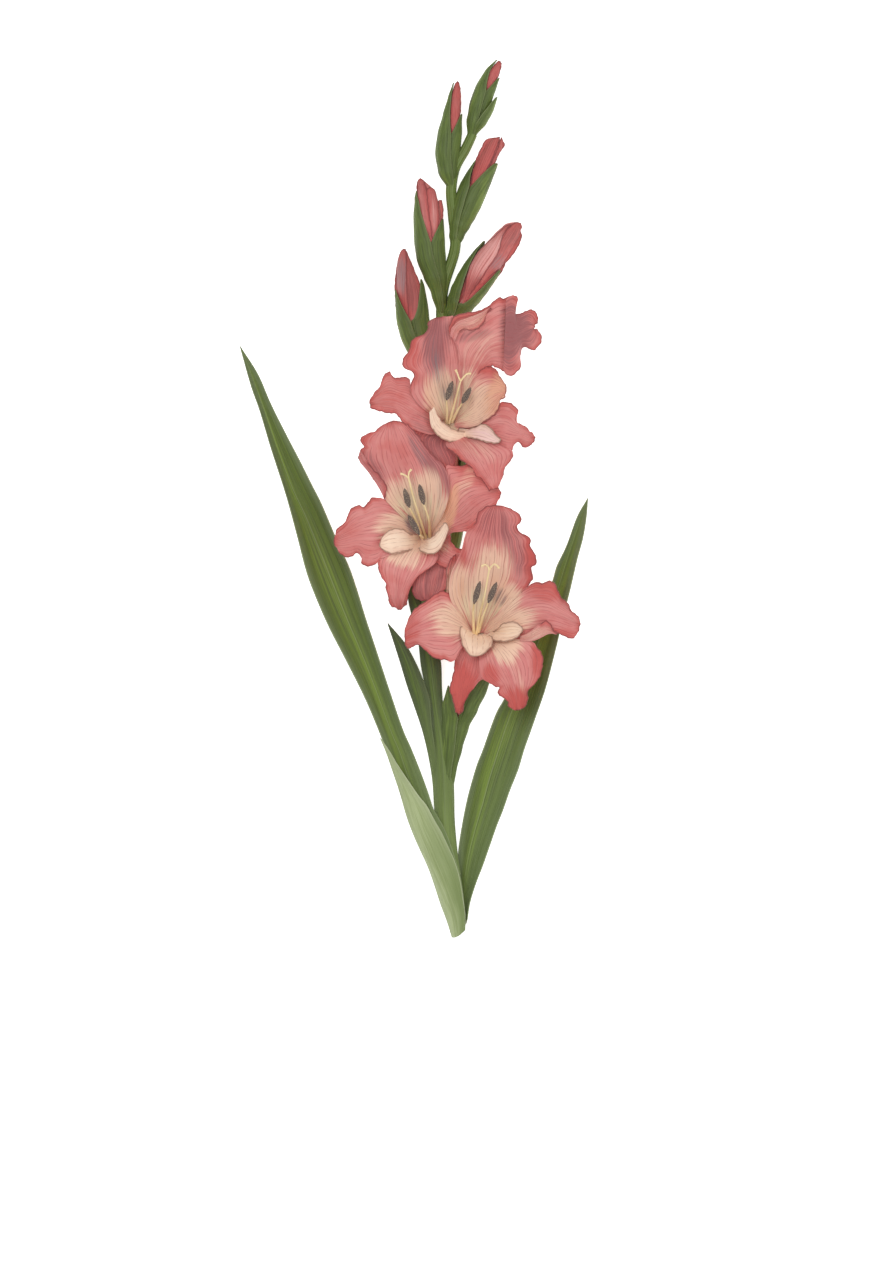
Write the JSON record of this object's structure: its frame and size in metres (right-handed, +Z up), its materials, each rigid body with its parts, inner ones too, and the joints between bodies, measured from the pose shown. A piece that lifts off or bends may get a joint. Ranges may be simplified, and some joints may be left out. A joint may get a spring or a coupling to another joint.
{
  "type": "cut gladiolus",
  "caption": "Cut flowering stem lying on its back, with open ruffled blooms, closed buds in green bracts above them and sword-shaped leaves clasping the stem below.",
  "frame": {"origin": "middle of the small flat spot under the stem where it rests on the table, about two fifths of the way up from the cut end", "axes": "+Z up off the table, +Y along the stem from the cut end to the top bud, +X to the right seen from above"},
  "size_m": [0.2093, 0.5263, 0.059],
  "materials": {
    "stem_green": "smooth waxy green stem",
    "leaf_green": "satin green leaf with parallel veins",
    "bract_green": "satin green bract with fine lengthwise veins",
    "bud_coral": "soft coral red closed petals",
    "petal_coral": "soft salmon coral petals, veined, paler in the throat",
    "style_cream": "matt cream style",
    "stamen_grey": "matt grey-violet anther"
  },
  "bodies": {
    "root": {"stem": "stem_green", "leaf_long_left": "leaf_green", "leaf_long_right": "leaf_green", "leaf_short_left": "leaf_green", "leaf_middle": "leaf_green", "bud_1_left_flower": "bud_coral", "bud_1_left_bract_outer": "bract_green", "bud_1_left_bract_inner": "bract_green", "bud_2_right_flower": "bud_coral", "bud_2_right_bract_outer": "bract_green", "bud_2_right_bract_inner": "bract_green", "bud_3_left_flower": "bud_coral", "bud_3_left_bract_outer": "bract_green", "bud_3_left_bract_inner": "bract_green", "bud_4_right_flower": "bud_coral", "bud_4_right_bract_outer": "bract_green", "bud_4_right_bract_inner": "bract_green", "bud_5_left_flower": "bud_coral", "bud_5_left_bract_outer": "bract_green", "bud_5_left_bract_inner": "bract_green", "bud_6_top_flower": "bud_coral", "bud_6_top_bract_outer": "bract_green", "bud_6_top_bract_inner": "bract_green", "bud_6_top_bract_small": "bract_green", "bloom_low_style": "style_cream", "bloom_low_stamen_left": "stamen_grey", "bloom_low_stamen_right": "stamen_grey", "bloom_low_tepals": "petal_coral", "bloom_low_bract_outer": "bract_green", "bloom_low_bract_inner": "bract_green", "bloom_mid_style": "style_cream", "bloom_mid_stamen_left": "stamen_grey", "bloom_mid_stamen_right": "stamen_grey", "bloom_mid_stamen_lower": "stamen_grey", "bloom_mid_tepals": "petal_coral", "bloom_mid_bract_outer": "bract_green", "bloom_mid_bract_inner": "bract_green", "bloom_top_style": "style_cream", "bloom_top_stamen_left": "stamen_grey", "bloom_top_stamen_right": "stamen_grey", "bloom_top_tepals": "petal_coral", "bloom_top_bract_outer": "bract_green", "bloom_top_bract_inner": "bract_green"}
  },
  "joints": []
}
